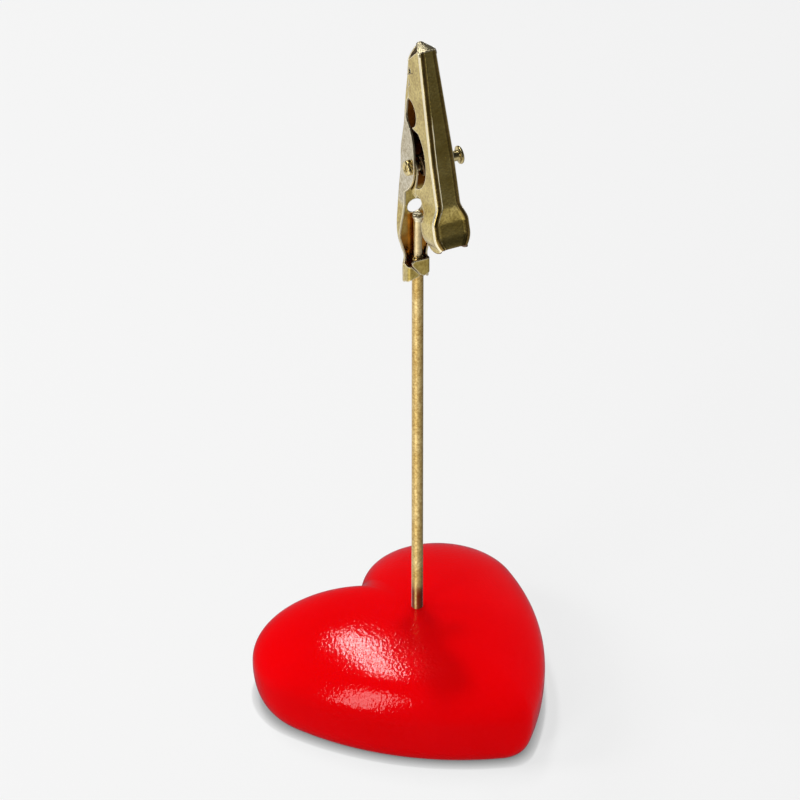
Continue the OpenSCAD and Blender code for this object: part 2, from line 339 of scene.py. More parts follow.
# The mark "rim" is millimetres from a cut edge or a painted highlight line. Metal is painted pale and matt
# below the first of these values, as wear and edge highlight on cut edges and as painted highlight on the
# lines, and not past the second.
PALE_WITHIN = -0.1
PALE_UNTIL = 0.16
PALE_SHARE = 0.95
PALE_ROUGH = 0.5


def brass(name, gold, speck_dark, rough, bump, inside=None, wear_and_highlight=None, reflected_grey=None, honey=None, foot=None):
    """Plated brass: deep and pale gold in patches with darker specks. Where they are given, inner faces are
    painted dark amber as shade, with a lighter honey shade in the tail, marked places turn greyer as a
    painted grey reflection, cut edges are painted pale and matt as wear and edge highlight and marked lines
    as painted highlight, and a foot set in resin is painted red as a reflection of the resin."""
    material = bpy.data.materials.new(name)
    tree = node_tree(material)
    place = tree.nodes.new("ShaderNodeTexCoord")
    film = add(tree, "ShaderNodeGroup", node_tree=PLATING, Patch_Scale=PATCH_SCALE, Speck_Scale=SPECK_SCALE)
    tree.links.new(place.outputs["Object"], film.inputs["Vector"])
    patch = film.outputs["Patch"]
    speck = film.outputs["Speck"]
    colour = tinted(tree, patch, *gold)
    gloss = spread(tree, speck, *rough)
    # Marked places turn greyer as a painted grey reflection.
    if reflected_grey:
        colour = blended(tree, marked(tree, "reflected_grey"), colour, tinted(tree, patch, *reflected_grey))
    colour = stained(tree, speck, colour, speck_dark, "MULTIPLY")
    # Inner faces painted dark amber as shade, with a lighter honey shade in the tail.
    if inside:
        painted_shade = tinted(tree, patch, *inside)
        if honey:
            painted_shade = blended(tree, marked(tree, "tail"), painted_shade, tinted(tree, patch, *honey))
        colour = blended(tree, marked(tree, "outer"), painted_shade, colour)
    # Cut edges painted pale and matt as wear and edge highlight, marked lines as painted highlight.
    if wear_and_highlight:
        pale_mask = add(tree, "ShaderNodeMapRange", interpolation_type="SMOOTHSTEP", From_Min=PALE_WITHIN,
                   From_Max=PALE_UNTIL, To_Min=PALE_SHARE, To_Max=0.0)
        tree.links.new(marked(tree, "rim"), pale_mask.inputs["Value"])
        colour = stained(tree, pale_mask.outputs["Result"], colour, wear_and_highlight)
        matt = add(tree, "ShaderNodeMix", B=PALE_ROUGH)
        tree.links.new(gloss, matt.inputs["A"])
        tree.links.new(pale_mask.outputs["Result"], matt.inputs["Factor"])
        gloss = matt.outputs["Result"]
    # A foot set in resin is painted red as a reflection of the resin.
    if foot:
        colour = stained(tree, marked(tree, "foot"), colour, foot)
    relief = add(tree, "ShaderNodeBump", Strength=bump, Distance=SPECK_DEPTH)
    tree.links.new(film.outputs["Height"], relief.inputs["Height"])
    shader = add(tree, "ShaderNodeBsdfPrincipled", Metallic=1.0)
    tree.links.new(colour, shader.inputs["Base Color"])
    tree.links.new(gloss, shader.inputs["Roughness"])
    tree.links.new(relief.outputs["Normal"], shader.inputs["Normal"])
    dress(tree, shader.outputs["BSDF"])
    return material


def red_resin():
    """Cast red resin: an even deep red with slow drifts of tone, and a fine pebbled skin that breaks up its
    gloss. The skin's height is a fine noise plus a share of a coarser one."""
    material = bpy.data.materials.new("red cast resin")
    tree = node_tree(material)
    place = tree.nodes.new("ShaderNodeTexCoord")
    drift = add(tree, "ShaderNodeTexNoise", Scale=70.0, Detail=2.0)
    pebble = add(tree, "ShaderNodeTexNoise", Scale=2400.0, Detail=1.5, Roughness=0.5)
    swell = add(tree, "ShaderNodeTexNoise", Scale=420.0, Detail=1.0)
    for texture in (drift, pebble, swell):
        tree.links.new(place.outputs["Object"], texture.inputs["Vector"])
    height = add(tree, "ShaderNodeMath", operation="MULTIPLY_ADD")
    height.inputs[1].default_value = 0.35
    tree.links.new(swell.outputs["Fac"], height.inputs[0])
    tree.links.new(pebble.outputs["Fac"], height.inputs[2])
    relief = add(tree, "ShaderNodeBump", Strength=0.55, Distance=0.00008)
    tree.links.new(height.outputs["Value"], relief.inputs["Height"])
    shader = add(tree, "ShaderNodeBsdfPrincipled", IOR=1.46, Sheen_Weight=0.35, Sheen_Roughness=0.28,
                 Sheen_Tint=(1.0, 0.6, 0.72, 1), Subsurface_Weight=0.6, Subsurface_Radius=(1.0, 0.05, 0.05),
                 Subsurface_Scale=0.006)
    colour = tinted(tree, drift.outputs["Fac"], DEEP_RED, BRIGHT_RED)
    tree.links.new(colour, shader.inputs["Base Color"])
    tree.links.new(spread(tree, drift.outputs["Fac"], 0.08, 0.12), shader.inputs["Roughness"])
    tree.links.new(relief.outputs["Normal"], shader.inputs["Normal"])
    dress(tree, shader.outputs["BSDF"])
    return material


# Colours as linear red, green and blue. A pair is the deep and the pale end of a patchy finish.
GOLD = ((0.56, 0.42, 0.11), (0.8, 0.64, 0.22))
GOLD_SPECK = (0.62, 0.58, 0.5)
# Painted shade of inner faces: dark amber, and a lighter honey in the tail.
AMBER_SHADE = ((0.06, 0.013, 0.001), (0.16, 0.05, 0.004))
HONEY_SHADE = ((0.16, 0.045, 0.002), (0.4, 0.15, 0.01))
# Grey of the painted reflection on the ears.
GREY_GOLD = ((0.68, 0.62, 0.48), (0.8, 0.75, 0.64))
# Pale of worn cut edges and of painted highlights.
WORN_AND_LIT = (0.95, 0.87, 0.64)
WIRE = ((0.72, 0.5, 0.17), (0.87, 0.66, 0.29))
WIRE_SPECK = (0.6, 0.53, 0.42)
# Painted reflection of the red resin on the wire's foot.
REFLECTED_RED = (0.2, 0.008, 0.002)
RIVET = ((0.74, 0.6, 0.26), (0.86, 0.74, 0.42))
RIVET_SPECK = (0.8, 0.76, 0.7)
STEEL = ((0.16, 0.1, 0.05), (0.26, 0.17, 0.09))
STEEL_SPECK = (0.6, 0.6, 0.6)
DEEP_RED = (0.71, 0.0, 0.001)
BRIGHT_RED = (0.78, 0.0005, 0.003)

JAW_GOLD = brass("jaw brass", GOLD, GOLD_SPECK, (0.12, 0.24), 0.3, inside=AMBER_SHADE, wear_and_highlight=WORN_AND_LIT)
EAR_GOLD = brass("rubbed jaw brass", GOLD, GOLD_SPECK, (0.14, 0.26), 0.3, inside=AMBER_SHADE, wear_and_highlight=WORN_AND_LIT,
                 reflected_grey=GREY_GOLD, honey=HONEY_SHADE)
WIRE_GOLD = brass("wire brass", WIRE, WIRE_SPECK, (0.14, 0.3), 0.5, wear_and_highlight=WORN_AND_LIT, foot=REFLECTED_RED)
RIVET_GOLD = brass("rivet brass", RIVET, RIVET_SPECK, (0.22, 0.34), 0.2)
SPRING_STEEL = brass("spring steel", STEEL, STEEL_SPECK, (0.3, 0.45), 0.4)
RESIN = red_resin()

# Heart base
LOBE_R = 11.3
LOBE_X = 9.9
TIP_DROP = 29.1
SIDE_R = 43.5
TIP_R = 4.0
NOTCH_R = 2.4
HEART_H = 14.1
RIM_Z = 5.9
FOOT_RATIO = 0.9
CROWN_POWER = 2.4
CROWN_ROOT = 2.1
CROWN_BLEND = 0.64
CROWN_ROUND = 18.0
# A hair smaller than the cast outline, so that its chords stay inside the solid's box.
HEART_FIT = 0.998
LOBE_Y = (TIP_DROP - LOBE_R) / 2
CROWN_C = np.array([0.0, STEM_Y - LOBE_Y])


def heart_outline():
    """Half a heart from tangent arcs, notch, lobe, long side and tip, then its mirror image."""
    lobe = np.array([LOBE_X, 0.0])
    tip = np.array([0.0, TIP_R - TIP_DROP])
    notch = np.array([0.0, math.sqrt((LOBE_R + NOTCH_R) ** 2 - LOBE_X ** 2)])
    reach = np.linalg.norm(tip - lobe)
    way = (tip - lobe) / reach
    near = SIDE_R - LOBE_R
    far = SIDE_R - TIP_R
    foot = (near ** 2 - far ** 2 + reach ** 2) / (2 * reach)
    side = lobe + foot * way + math.sqrt(near ** 2 - foot ** 2) * np.array([way[1], -way[0]])
    a_notch = math.degrees(math.atan2(-notch[1], LOBE_X))
    a_side = math.degrees(math.atan2(lobe[1] - side[1], lobe[0] - side[0]))
    a_tip = math.degrees(math.atan2(tip[1] - side[1], tip[0] - side[0]))
    half = np.concatenate([
        arc(notch, NOTCH_R, -90, a_notch, 12), arc(lobe, LOBE_R, 180 + a_notch, a_side, 80)[1:],
        arc(side, SIDE_R, a_side, a_tip, 50)[1:], arc(tip, TIP_R, a_tip, -90, 16)[1:]])
    return np.concatenate([half, half[-2:0:-1] * [-1, 1]])


def heart_base():
    """Rings of the outline from the flat foot to the crown. The side bows out as a quarter of an ellipse to
    the widest ring. Going in from there, each ring mixes the heart's outline with a circle, and its height
    falls away from the crown as one less a power of the distance out, to another power. A point closes
    each end."""
    outline = HEART_FIT * (heart_outline() - CROWN_C)
    round_out = CROWN_ROUND * unit(outline)
    by_rim = 1 - np.linspace(0, 0.4, 30)[1:] ** 2
    share = np.concatenate([by_rim, np.linspace(0.82, 0.02, 44)])[:, None, None]
    heartlike = share ** CROWN_BLEND
    crown = share * ((1 - heartlike) * round_out + heartlike * outline)
    crown_z = RIM_Z + (HEART_H - RIM_Z) * (1 - share[:, 0, 0] ** CROWN_POWER) ** (1 / CROWN_ROOT)
    lift = 1 - np.cos(np.radians(np.linspace(0, 90, 24)))
    bow = FOOT_RATIO + (1 - FOOT_RATIO) * np.sqrt(1 - (1 - lift) ** 2)
    foot = bow[:, None, None] * outline
    flat = np.array([0.0, 0.4, 0.8, 0.985])[:, None, None] * foot[:1]
    pole = np.zeros((1, len(outline), 2))
    ring = CROWN_C + [0, LOBE_Y] + np.concatenate([flat, foot, crown, pole])
    z = np.concatenate([np.zeros(len(flat)), RIM_Z * lift, crown_z, [HEART_H]])[:, None, None]
    points = np.concatenate([ring, z + 0 * ring[..., :1]], axis=2)
    rings = np.arange(points.shape[0] * points.shape[1]).reshape(points.shape[:2])
    return points.reshape(-1, 3), tube_quads(rings)


heart = put("heart", *heart_base(), RESIN, resin_set, "holder", "heart_base", "resin")
# Hidden from bounce and mirror rays, so that its red doesn't tint the pale floor and the brass.
heart.visible_diffuse = False
heart.visible_glossy = False

# Stem
STEM_R = 0.8
NECK_R = 0.59
STEM_FOOT = 5.1
STEM_TOP = PIVOT_Z - 9.5
NECK_FROM = PIVOT_Z - 16.6
HEAD_FROM = STEM_TOP - 0.8
DOME_H = 0.3
DOME_POWER = 0.4
NECK_PALE_FROM = STEM_TOP - 6.6
# The foot's painted red reflection of the resin: a deep one low down and a faint one above, each with its
# share, top and fade.
DEEP_REFLECTION = 0.75
DEEP_REFLECTION_TOP = 4.8
DEEP_REFLECTION_FADE = 2.2
FAINT_REFLECTION = 0.2
FAINT_REFLECTION_TOP = 9.0
FAINT_REFLECTION_FADE = 5.0
STREAK_UNPAINTED = 0.85
STREAK_TURN = -149.0
STREAK_WIDE = 10.0


def stem_wire():
    """A round wire turned about its axis: straight to the crimp, a smooth step to a thinner end, and a flat
    head that swells out again by a smooth step and rounds over as a power of a cosine."""
    shaft = np.linspace(STEM_FOOT + 0.05, NECK_FROM, 150)
    neck = np.linspace(NECK_FROM + 0.4, HEAD_FROM - 0.1, 40)
    step = np.linspace(0, 1, 12)[1:]
    dome = np.radians(np.linspace(0, 90, 14)[1:])
    height = np.concatenate([
        [STEM_FOOT, STEM_FOOT], shaft, NECK_FROM + 0.3 * step, neck,
        HEAD_FROM + 0.5 * step, STEM_TOP - DOME_H + DOME_H * np.sin(dome)])
    radius = np.concatenate([
        [POINT_R, STEM_R], np.full(len(shaft), STEM_R), STEM_R - (STEM_R - NECK_R) * ease(step),
        np.full(len(neck), NECK_R), NECK_R + (STEM_R - NECK_R) * ease(step),
        STEM_R * np.cos(dome) ** DOME_POWER])
    radius[-1] = POINT_R
    profile = np.stack([radius, height, 0 * height], axis=1)
    return turned(profile, np.array([0.0, STEM_Y, 0.0]), UP, EAST, 40)


def stem_marks(points):
    """Marks of the wire: painted pale and matt at the head as a highlight, partly pale on the neck, and
    painted red at the foot as a reflection of the resin by smooth steps of the height above the heart, apart
    from one unpainted streak, a bell curve of the turn round the wire."""
    z = points[:, 2]
    # The head is painted pale as a highlight.
    head = ease((HEAD_FROM - z) / 0.3)
    neck = ease((NECK_PALE_FROM - z) / 0.4)
    # Painted reflection of the red resin, strongest low on the wire, left out along one streak.
    above = z - HEART_H
    deep = DEEP_REFLECTION * ease((DEEP_REFLECTION_TOP - above) / DEEP_REFLECTION_FADE)
    faint = FAINT_REFLECTION * ease((FAINT_REFLECTION_TOP - above) / FAINT_REFLECTION_FADE)
    turn = np.degrees(np.arctan2(points[:, 1] - STEM_Y, points[:, 0]))
    streak = STREAK_UNPAINTED * np.exp(-((turn - STREAK_TURN) / STREAK_WIDE) ** 2)
    return {"rim": PALE_UNTIL * head + 0.4 * neck + PALE_WITHIN, "foot": (deep + faint) * (1 - streak)}


wire_points, wire_quads = stem_wire()
put("stem_wire", wire_points, wire_quads, WIRE_GOLD, metal_set, "holder", "stem", "wire_brass",
    stem_marks(wire_points))

# Upper jaw: u runs down its back from the nose, and v inwards from the back.
WEDGE = math.radians(18.5)
NOSE = np.array([3.2, 18.9])
DOWN_BACK = np.array([math.sin(WEDGE), -math.cos(WEDGE)])
INWARD = np.array([-math.cos(WEDGE), -math.sin(WEDGE)])
START_U = 0.08
END_U = 27.75
BEND_R = 0.65
NOSE_HALF = 1.33
TAPER = 0.5
TAPER_U = 16.0
FLARE = 0.88
FLARE_U = 21.6
FLARE_RUN = 2.8
END_TUCK = 0.56
END_RUN = 1.8
END_SWELL = 0.67
END_SWELL_U = 24.5
# Side view of the upper teeth, from the nose down, as places leverward and up.
UPPER_TEETH = [(-0.05, 15.2), (0.05, 14.9), (0.75, 14.6), (0.75, 14.1), (0.05, 13.75), (-0.05, 13.2),
               (0.62, 12.3), (-0.05, 11.4), (0.5, 10.5)]
# Stations across half the back, as shares of its half width in from the bend.
BACK_STEPS = np.array([0.02, 0.06, 0.1, 0.14, 0.18, 0.22, 0.26, 0.3, 0.36, 0.5, 0.7, 0.9])
GROOVE_IN = 0.14
GROOVE_WIDE = 0.075
NEAR_GROOVE = 0.08
FAR_GROOVE = 0.03
PAD_DEEP = 0.22
PAD_U = 21.8
PAD_RUN = 2.6
PAD_SIDE = 0.5
PAD_END_U = 26.0
PAD_END_RUN = 1.7
# Painted highlight lines and painted dark reflection band of the back: places in millimetres, turns round
# the bend in degrees, and shares.
NOT_PALE = 2.0
BEND_HIGHLIGHT_FROM = 8.0
BEND_HIGHLIGHT_TO = 48.0
RIDGE_IN = 0.21
RIDGE_HALF = 0.07
RIDGE_U = 7.0
RIDGE_RUN = 5.0
RIDGE_END_U = 27.5
RIDGE_END_RUN = 1.5
# Painted dark reflection band next to each bend.
DARK_BAND = 0.6
DARK_BAND_TURN = 46.0
DARK_BAND_FADE = 10.0
DARK_BAND_SHARE = 0.14
DULL_B = 9.5
DULL_K = -5.5
DULL_WEAR = 0.2
DULL_TONE = 0.1


def upper_half(u):
    """Half width along the back: a straight taper, a smooth flare at the lever, and a rounded end."""
    taper = NOSE_HALF + TAPER * np.minimum(u / TAPER_U, 1)
    tuck = END_TUCK * (np.clip(u - END_U + END_RUN, 0, END_RUN + 0.1) / END_RUN) ** 2
    return taper + FLARE * ease((u - FLARE_U) / FLARE_RUN) - tuck


def upper_edge():
    """The cut edge of each wall in the side view, cut into even steps: teeth, throat, the crescent round the
    pivot, the notch under the arm, and the lever's curve."""
    return evenly(np.concatenate([
        [[-0.15, 15.8]], UPPER_TEETH, [[0.1, 10.0]],
        arc((0.9, 8.0), 2.1, 95, -62, 14), arc((1.6, 1.9), 4.95, 64, -70, 24), [[2.9, -3.9], [4.7, -3.4]],
        arc((6.55, -4.95), 0.9, 104, -68, 16), [[7.2, -7.0], [7.45, -7.8], [7.7, -8.45], [8.2, -8.9]]]), 0.1)


def beside_edge(edge, edge_u):
    """The place along the back that each point of the cut edge is tied to: straight across the wall along
    most of the jaw, easing to the nose and to the lever's end, and always going on."""
    step = np.linalg.norm(np.diff(edge, axis=0), axis=1)
    grow = np.concatenate([[0], np.cumsum(np.maximum(np.diff(edge_u), 0.12 * step))])
    share = grow / grow[-1]
    even = START_U + share * (END_U - START_U)
    straight = ease(share * 6) * ease((1 - share) * 6)
    return np.maximum.accumulate(even + straight * (edge_u - even)) + np.linspace(0, 1e-3, len(even))


def back_marks(points, gap, outer, back_u, inwards, side, bend_turn, wall_count):
    """Painted light of the upper jaw: one pale painted highlight line round each bend, a second along the
    near groove's inner side, a painted dark reflection band by smooth steps from each bend to past the
    groove, and a cut edge at the lever's end kept from the pale edge colour and painted mostly in the amber
    shade."""
    # Pale painted highlight lines round the bends and beside the near groove.
    bend_highlight = np.where((bend_turn > BEND_HIGHLIGHT_FROM) & (bend_turn < BEND_HIGHLIGHT_TO), PALE_WITHIN, NOT_PALE)
    along = ease((back_u - RIDGE_U) / RIDGE_RUN) * ease((RIDGE_END_U - back_u) / RIDGE_END_RUN)
    on_ridge = (np.abs(inwards - RIDGE_IN) < RIDGE_HALF) & (side < 0)
    ridge_highlight = np.where(on_ridge, 0.25 * (1 - along) - 0.08, NOT_PALE)
    # Painted dark reflection: the back turns towards the amber shade past each bend and near its edges.
    bend_dark = 1 - DARK_BAND * ease((bend_turn - DARK_BAND_TURN) / DARK_BAND_FADE)
    back_dark = 1 - DARK_BAND + DARK_BAND * ease((1 - np.abs(side[:, 0])) / DARK_BAND_SHARE)
    plain_wall = np.ones(wall_count)
    painted_dark = np.concatenate([plain_wall, bend_dark, back_dark, bend_dark[::-1], plain_wall])
    wear_and_highlight = np.full((len(back_u), len(painted_dark)), NOT_PALE)
    wear_and_highlight[:, wall_count:-wall_count] = np.concatenate([
        bend_highlight[:, None] + 0 * back_u, ridge_highlight, bend_highlight[::-1, None] + 0 * back_u]).T
    gap[:wear_and_highlight.size] = np.minimum(gap[:wear_and_highlight.size], wear_and_highlight.ravel())
    outer[:wear_and_highlight.size] = np.tile(painted_dark, len(back_u))
    # The cut edge at the lever's end is kept from the pale edge colour and painted mostly in the amber
    # shade.
    leverwards = (points - CLIP_FOOT) @ LEVERWARD
    dull_end = (gap == 0) & (leverwards > DULL_B) & (points[:, 2] < PIVOT_Z + DULL_K)
    return np.where(dull_end, DULL_WEAR, gap), np.where(dull_end, DULL_TONE, outer)


def upper_channel():
    """The wedge-shaped channel. A row starts on its wall's cut edge, climbs the near wall, rounds the bend,
    crosses the back and goes down the far wall. The wall swells past the cut edge at the lever, the back has
    a bell-shaped groove beside each bend, and its pad is sunk by smooth steps."""
    edge = upper_edge()
    edge_u = (edge - NOSE) @ DOWN_BACK
    edge_v = (edge - NOSE) @ INWARD
    back_u = beside_edge(edge, edge_u)
    climb = np.linspace(0, 1, 17)[:, None] ** 0.8
    wall_v = edge_v + (BEND_R - edge_v) * climb
    swell = END_SWELL * ease((back_u - END_SWELL_U) / (END_U - END_SWELL_U)) ** 2
    depth_share = wall_v / edge_v
    belly = (4 * np.clip(depth_share * (1 - depth_share), 0, 1)) ** 0.6
    wall_u = edge_u + (back_u - edge_u) * climb + swell * belly
    turn = np.radians(np.linspace(0, 90, 9))[1:, None]
    bend_v = BEND_R - BEND_R * np.sin(turn) + 0 * back_u
    bend_u = wall_u[-1] + (back_u - wall_u[-1]) * np.sin(turn)
    half_wall = upper_half(wall_u)
    half_bend = upper_half(bend_u) - BEND_R + BEND_R * np.cos(turn)
    side = np.concatenate([BACK_STEPS - 1, [0], 1 - BACK_STEPS[::-1]])[:, None]
    half_back = upper_half(back_u) - BEND_R
    inwards = (1 - np.abs(side)) * half_back
    groove_deep = np.where(side < 0, NEAR_GROOVE, FAR_GROOVE)
    groove = groove_deep * np.exp(-((inwards - GROOVE_IN) / GROOVE_WIDE) ** 2)
    pad = PAD_DEEP * ease((back_u - PAD_U) / PAD_RUN) * ease(inwards / PAD_SIDE)
    back_v = groove + pad * (1 - 0.5 * ease((back_u - PAD_END_U) / PAD_END_RUN))
    across = np.concatenate([-half_wall, -half_bend, half_back * side, half_bend[::-1], half_wall[::-1]])
    v = np.concatenate([wall_v, bend_v, back_v, bend_v[::-1], wall_v[::-1]])
    u = np.concatenate([wall_u, bend_u, back_u + 0 * side, bend_u[::-1], wall_u[::-1]])
    b = NOSE[0] + u * DOWN_BACK[0] + v * INWARD[0]
    k = NOSE[1] + u * DOWN_BACK[1] + v * INWARD[1]
    points, quads, gap, outer = plate(in_clip(across, b, k).transpose(1, 0, 2), SHEET, LEVERWARD)
    bend_turn = np.degrees(turn[:, 0])
    gap, outer = back_marks(points, gap, outer, back_u, inwards, side, bend_turn, len(climb))
    return points, quads, gap, outer


EYE_R = 1.45
ARM_A = 1.76
ARM_SHEET = SHEET - 0.06
ARM_FOOT = -4.4
ARM_NECK = -0.47


def pivot_arm(side):
    """One flat arm inside the jaw's wall: between a left and a right edge at each height, ending in a round
    eye, whose half width is the square root of its radius squared less the height squared."""
    round_eye = EYE_R * np.sin(np.radians(np.linspace(-19, 90, 30)[:-1]))
    k = np.concatenate([np.linspace(ARM_FOOT, -0.5, 40), round_eye, [EYE_R - 0.001]])
    eye = np.sqrt(np.maximum(EYE_R ** 2 - k ** 2, 1e-4))
    left = np.interp(k, [ARM_FOOT, -3.4, ARM_NECK], [2.1, 1.2, 0.73])
    right = np.interp(k, [ARM_FOOT, -3.6, -3.3, ARM_NECK], [3.2, 3.4, 2.9, 3.47])
    left = np.where(k < ARM_NECK, left, PIVOT_B - eye)
    right = np.where(k < ARM_NECK, right, PIVOT_B + eye)
    b = left[:, None] + (right - left)[:, None] * np.linspace(0, 1, 12)
    return plate(in_clip(side * ARM_A, b, k[:, None]), ARM_SHEET, side * ACROSS)


def nose_lip(path, half, towards, thick, crown):
    """A pointed lip, painted pale and matt all over as a highlight: the path in the side view carried across
    by a half width that changes along it, and drooping by the square of the place across."""
    s = np.linspace(-1, 1, 17)
    skin = in_clip(half[:, None] * s, path[:, 0:1], path[:, 1:2] - crown * s ** 2)
    points, quads, gap, outer = plate(skin, thick, towards)
    # A rim distance of 0 everywhere paints the whole lip pale as a highlight.
    return points, quads, 0 * gap, outer


def upper_lip():
    """From just under the back's end, round a tight bend and level to a blunt point over the lower jaw. Its
    half width falls by a smooth step of the way along."""
    bend = arc((2.86, 18.5), 0.33, 18, 90, 10)
    path = evenly(np.concatenate([[[3.28, 18.38]], bend, [[2.0, 18.83], [0.5, 18.78]]]), 0.08)
    half = 1.26 - 0.86 * ease(np.linspace(0, 1, len(path)) - 0.2)
    return nose_lip(path, half, UP + LEVERWARD * 0.5, 0.26, 0.18)


points, quads, gap, outer = joined(upper_channel(), pivot_arm(-1), pivot_arm(1), upper_lip())
put("upper_jaw_sheet", points, quads, JAW_GOLD, metal_set, "moving_jaw", "upper_jaw", "jaw_brass",
    {"rim": np.minimum(gap, NOT_PALE), "outer": outer})

# Lower jaw: half widths and the walls' edge are given by height above the pivot.
LOWER_HALF = [(15.7, 1.27), (9.5, 1.46), (5.5, 1.68), (1.3, 2.14), (-2.0, 2.18), (-4.0, 2.36), (-8.0, 2.62),
              (-10.9, 2.74), (-12.0, 2.7), (-13.2, 2.55), (-14.9, 2.1), (-16.6, 1.7), (-17.7, 1.84),
              (-20.5, 1.86)]
LOWER_TEETH = [(-0.34, 15.7), (-0.17, 15.385), (-0.3, 14.335), (-0.17, 13.285), (-0.1, 12.235),
               (-0.17, 11.185), (0.03, 10.135), (-0.5, 9.0), (-0.6, 7.0)]
TAIL_EDGE = [(0.95, -6.6), (0.65, -8.7), (0.15, -11.0), (-0.5, -13.2), (-0.55, -14.5), (-0.55, -20.5)]
LOWER_FOOT = -20.5
LOWER_NOSE = 15.7
LOWER_BEND_R = 0.48
TEETH_K = 9.0
WEB_B = -1.2
WEB_RISE = 0.7
RISE_K = 9.5
RISE_RUN = 6.2
RISE_POWER = 1.15
WINDOW_K = -8.72
WINDOW_R = 1.16
WINDOW_FRAME = 1.6
WINDOW_CELLS = 8
HOLE_CELLS = 5
ROWS_BELOW = 81


def lower_edge(k):
    """How far each wall of the lower jaw reaches leverward at a height: teeth, ear arc and falling tail."""
    ear = arc((-3.2, 0.4), 6.45, 62, -52, 60)
    line = np.concatenate([LOWER_TEETH, ear, TAIL_EDGE])[::-1]
    return np.interp(k, line[:, 1], line[:, 0])


def round_window(a, k):
    """Places across and up the web, with the squares of the grid round the window drawn in to circles: a
    point goes from its place on a circle at the window's edge to its place on the square at the frame's."""
    up = k - WINDOW_K
    square = np.maximum(np.abs(a), np.abs(up))
    hole = HOLE_CELLS * WINDOW_FRAME / WINDOW_CELLS
    out = np.clip((square - hole) / (WINDOW_FRAME - hole), 0, 1)
    length = np.maximum(np.hypot(a, up), 1e-9)
    inside = square < WINDOW_FRAME - 1e-6
    round_a = np.where(inside, (1 - out) * WINDOW_R * a / length + out * a, a)
    round_up = np.where(inside, (1 - out) * WINDOW_R * up / length + out * up, up)
    return round_a, round_up + WINDOW_K


def lower_channel():
    """The fixed channel. Rows run up the clip, and each crosses near wall, bend, web, bend and far wall,
    with a half width and a wall height that depend on the height. The web rises to the nose as a power of
    the height, and the cells inside the window are left out."""
    cell = WINDOW_FRAME / WINDOW_CELLS
    ring = WINDOW_K + cell * np.arange(-WINDOW_CELLS, WINDOW_CELLS + 1)
    k = np.concatenate([
        np.linspace(LOWER_FOOT, ring[0], ROWS_BELOW + 1)[:-1], ring,
        np.linspace(ring[-1], TEETH_K, 124)[1:-1], np.linspace(TEETH_K, LOWER_NOSE, 90)])
    half = through(k, LOWER_HALF)
    edge = lower_edge(k)
    web = WEB_B + WEB_RISE * np.clip((k - RISE_K) / RISE_RUN, 0, 1) ** RISE_POWER
    radius = np.minimum(LOWER_BEND_R, 0.7 * (edge - web))
    wall_b = edge + (web + radius - edge) * np.linspace(0, 1, 14)[:, None]
    wall_a = half + 0 * wall_b
    turn = np.radians(np.linspace(0, 90, 8))[1:, None]
    bend_b = web + radius - radius * np.sin(turn)
    bend_a = half - radius + radius * np.cos(turn)
    flat = half - radius
    inset = np.minimum(WINDOW_FRAME, 0.86 * flat)
    beside = np.linspace(0, 1, 4)[1:-1, None]
    middle = np.linspace(-1, 1, 2 * WINDOW_CELLS + 1)[:, None]
    margin = (flat - inset) * beside
    web_a = np.concatenate([-flat + margin, inset * middle, inset + margin])
    web_b = web + 0 * web_a
    web_a, web_k = round_window(web_a, k + 0 * web_a)
    wall_k = k + 0 * wall_b
    bend_k = k + 0 * bend_b
    across = np.concatenate([-wall_a, -bend_a, web_a, bend_a[::-1], wall_a[::-1]])
    b = np.concatenate([wall_b, bend_b, web_b, bend_b[::-1], wall_b[::-1]])
    up = np.concatenate([wall_k, bend_k, web_k, bend_k, wall_k])
    skin = in_clip(across, b, up).transpose(1, 0, 2)[:, ::-1]
    rows, cols = skin.shape[:2]
    row = ROWS_BELOW + WINDOW_CELLS
    col = cols // 2
    keep = np.ones((rows - 1, cols - 1), bool)
    keep[row - HOLE_CELLS:row + HOLE_CELLS, col - HOLE_CELLS:col + HOLE_CELLS] = False
    n = np.arange(rows * cols).reshape(rows, cols)
    hole = n[row - HOLE_CELLS:row + HOLE_CELLS + 1, col - HOLE_CELLS:col + HOLE_CELLS + 1]
    return plate(skin, SHEET, -LEVERWARD, keep, border(hole)[::-1])


TAB_R = 0.42
TAB_FOOT = -0.85
TAB_FRONT = 1.11
WINDOW_UNSHADED = 0.85
TAIL_UNSHADED = 0.1
TAIL_LIT_STREAK = 0.5
EAR_GREY_REFLECTION = 0.85


def crimp_tab(side, half, top, low):
    """A strip bent up beside the stem and folded over it: the path across the clip goes up the wall, round a
    bend and over the front, and at each point the strip runs from its low to its top height."""
    top = np.array(top)
    low = np.array(low)
    bend = arc((TAB_R - half, TAB_FRONT - TAB_R), TAB_R, 180, 90, 10)
    path = evenly(np.concatenate([[[-half, TAB_FOOT]], bend, [[-top[:, 0].min(), TAB_FRONT]]]), 0.06)
    reach = path[:, 0]
    below = 1 - np.clip((path[:, 1] - TAB_FOOT) / (TAB_FRONT - TAB_FOOT), 0, 1)
    on_wall = reach < -half + 0.1
    k_top = np.where(on_wall, top[0, 1] - 0.25 * below, np.interp(reach, -top[:, 0], top[:, 1]))
    k_low = np.where(on_wall, low[0, 1] - below, np.interp(reach, -low[:, 0], low[:, 1]))
    k = k_low[:, None] + (k_top - k_low)[:, None] * np.linspace(0, 1, 14)
    skin = in_clip(side * -reach[:, None], path[:, 1:2], k)
    return plate(skin, SHEET, LEVERWARD + side * 0.6 * ACROSS)


def lower_lip():
    """From the lower nose up and over towards the upper lip, narrowing to a blunt point by a power of the
    way along."""
    path = evenly(np.array([[-0.5, 15.5], [-0.42, 15.9], [-0.2, 16.9], [0.1, 17.9], [0.3, 18.5]]), 0.08)
    half = 1.25 - 1.05 * np.linspace(0, 1, len(path)) ** 1.6
    return nose_lip(path, half, -LEVERWARD, 0.18, 0.05)


